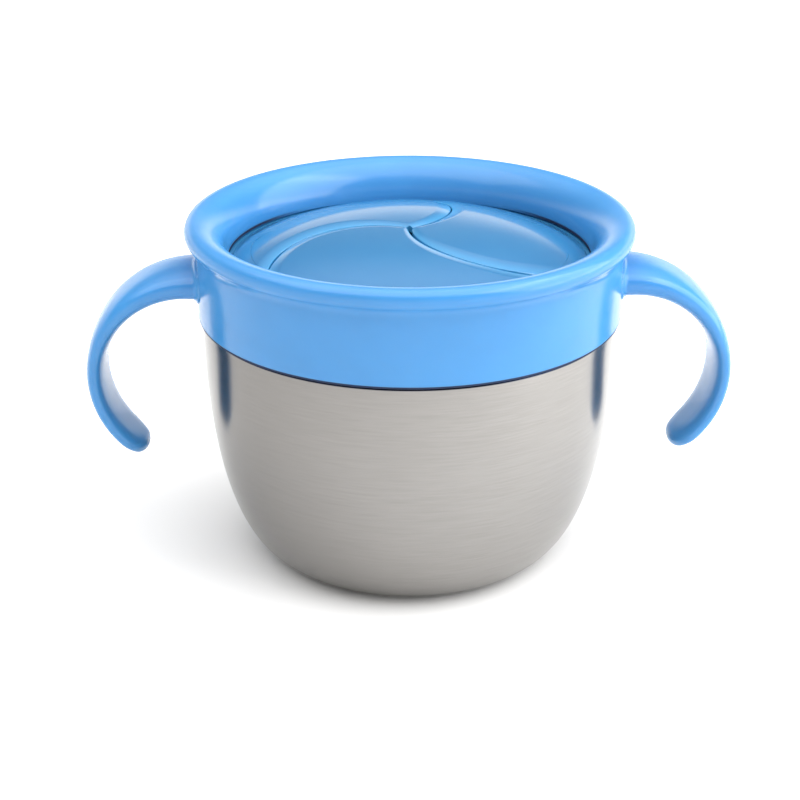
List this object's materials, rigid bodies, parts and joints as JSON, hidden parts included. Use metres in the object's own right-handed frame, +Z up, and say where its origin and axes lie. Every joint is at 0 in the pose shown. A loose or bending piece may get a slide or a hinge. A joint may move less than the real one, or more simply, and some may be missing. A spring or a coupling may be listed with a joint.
{
  "type": "toddler snack container",
  "caption": "Drawn steel snack bowl with a push-on blue lid, open hook handles at its sides and a soft domed disc whose pinwheel flaps let a small hand in.",
  "frame": {"origin": "centre of the bowl's base, at the height of the table it stands on", "axes": "+X through the handles towards the right-hand one as seen from the front, +Y towards the back, +Z up"},
  "size_m": [0.139, 0.0944, 0.075],
  "materials": {
    "brushed_steel": "satin, brushed round the bowl",
    "blue_plastic": "gloss moulded polypropylene",
    "blue_elastomer": "gloss soft thermoplastic elastomer, slightly clear",
    "silicone": "matte silicone"
  },
  "bodies": {
    "bowl": {"steel_bowl": "brushed_steel"},
    "lid": {"lid_collar": "blue_plastic", "handle_left": "blue_plastic", "handle_right": "blue_plastic", "seal_ring": "silicone", "flap_carrier": "blue_elastomer"},
    "front_flap": {"flap_front": "blue_elastomer"},
    "right_flap": {"flap_right": "blue_elastomer"},
    "left_flap": {"flap_left": "blue_elastomer"}
  },
  "joints": [
    {"name": "lid_lift", "type": "slide", "parent": "bowl", "child": "lid", "axis": [0, 0, 1], "range_m": [0, 0.06]},
    {"name": "front_flap_bend", "type": "hinge", "parent": "lid", "child": "front_flap", "pos_m": [-0.00423, -0.02829, 0.06643], "axis": [-0.989, 0.1478, 0], "range_deg": [0, 55], "stiffness_Nm_per_rad": 0.004, "springref_deg": -9.74},
    {"name": "right_flap_bend", "type": "hinge", "parent": "lid", "child": "right_flap", "pos_m": [0.02661, 0.01048, 0.06643], "axis": [0.3665, -0.9304, 0], "range_deg": [0, 55], "stiffness_Nm_per_rad": 0.004, "springref_deg": -9.74},
    {"name": "left_flap_bend", "type": "hinge", "parent": "lid", "child": "left_flap", "pos_m": [-0.02238, 0.0178, 0.06643], "axis": [0.6225, 0.7826, 0], "range_deg": [0, 55], "stiffness_Nm_per_rad": 0.004, "springref_deg": -9.74}
  ]
}
